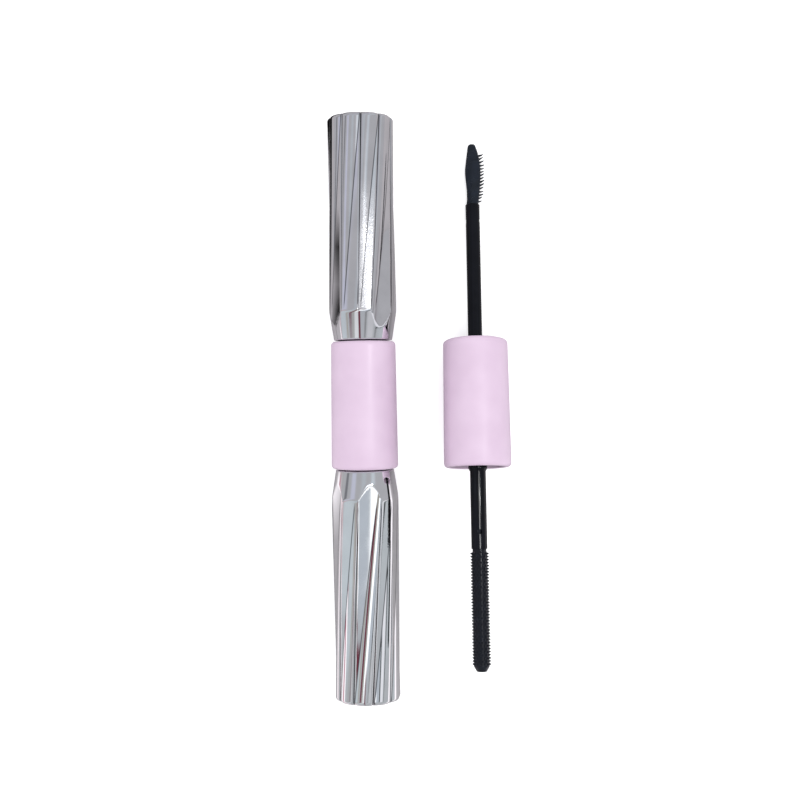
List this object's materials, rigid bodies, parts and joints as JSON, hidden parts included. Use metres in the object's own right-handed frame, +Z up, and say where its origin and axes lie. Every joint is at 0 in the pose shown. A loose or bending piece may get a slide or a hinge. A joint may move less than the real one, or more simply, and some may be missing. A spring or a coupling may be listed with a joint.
{
  "type": "double-ended mascara tube",
  "caption": "Double-ended mascara: two faceted plated vials screwed to a satin collar, with an open comb-and-brush wand unit lying beside it.",
  "frame": {"origin": "middle of the footprint of both units on the surface that they lie on", "axes": "+Y along both tubes towards the comb ends, +X from the closed tube towards the open wand, +Z up"},
  "size_m": [0.0457, 0.148, 0.0217],
  "materials": {
    "plated_shell": "mirror-bright vacuum-plated chrome look on moulded plastic, a few fine scuffs",
    "pink_collar": "satin pale pink-lilac lacquer",
    "black_socket": "plain moulded black",
    "seal": "soft moulded ring",
    "black_rod": "glossy black",
    "black_applicator": "blue-black moulded elastomer, glossy",
    "bottle": "smooth moulded black",
    "wiper": "soft translucent moulding"
  },
  "bodies": {
    "closed_wand": {"closed_collar": "pink_collar", "closed_comb_socket": "black_socket", "closed_brush_socket": "black_socket", "closed_comb_gasket": "seal", "closed_brush_gasket": "seal", "closed_comb_rod": "black_rod", "closed_brush_rod": "black_rod", "closed_comb_head": "black_applicator", "closed_brush_head": "black_applicator"},
    "comb_wiper_insert": {"comb_wiper": "wiper"},
    "comb_vial": {"comb_bottle": "bottle", "comb_shell": "plated_shell"},
    "brush_wiper_insert": {"brush_wiper": "wiper"},
    "brush_vial": {"brush_bottle": "bottle", "brush_shell": "plated_shell"},
    "open_wand": {"open_collar": "pink_collar", "open_comb_socket": "black_socket", "open_brush_socket": "black_socket", "open_comb_gasket": "seal", "open_brush_gasket": "seal", "open_comb_rod": "black_rod", "open_brush_rod": "black_rod", "open_comb_head": "black_applicator", "open_brush_head": "black_applicator"}
  },
  "joints": [
    {"name": "comb_vial_travel", "type": "slide", "parent": "closed_wand", "child": "comb_wiper_insert", "axis": [0, 1, 0], "range_m": [0, 0.064], "deforming": ["comb_wiper"]},
    {"name": "comb_vial_turn", "type": "hinge", "parent": "comb_wiper_insert", "child": "comb_vial", "pos_m": [-0.0143, 0.0011, 0.00863], "axis": [0, 1, 0], "range_deg": [0, 5760]},
    {"name": "brush_vial_travel", "type": "slide", "parent": "closed_wand", "child": "brush_wiper_insert", "axis": [0, -1, 0], "range_m": [0, 0.064], "deforming": ["brush_wiper"]},
    {"name": "brush_vial_turn", "type": "hinge", "parent": "brush_wiper_insert", "child": "brush_vial", "pos_m": [-0.0143, 0.0011, 0.00863], "axis": [0, -1, 0], "range_deg": [0, 5760]},
    {"name": "open_wand_lift", "type": "slide", "parent": "closed_wand", "child": "open_wand", "axis": [0, 0, 1], "range_m": [0, 0.04]}
  ],
  "couplings": [
    {"joint": "comb_vial_turn", "follows": "comb_vial_travel", "rad_per_m": 1570.8},
    {"joint": "brush_vial_turn", "follows": "brush_vial_travel", "rad_per_m": 1570.8}
  ]
}
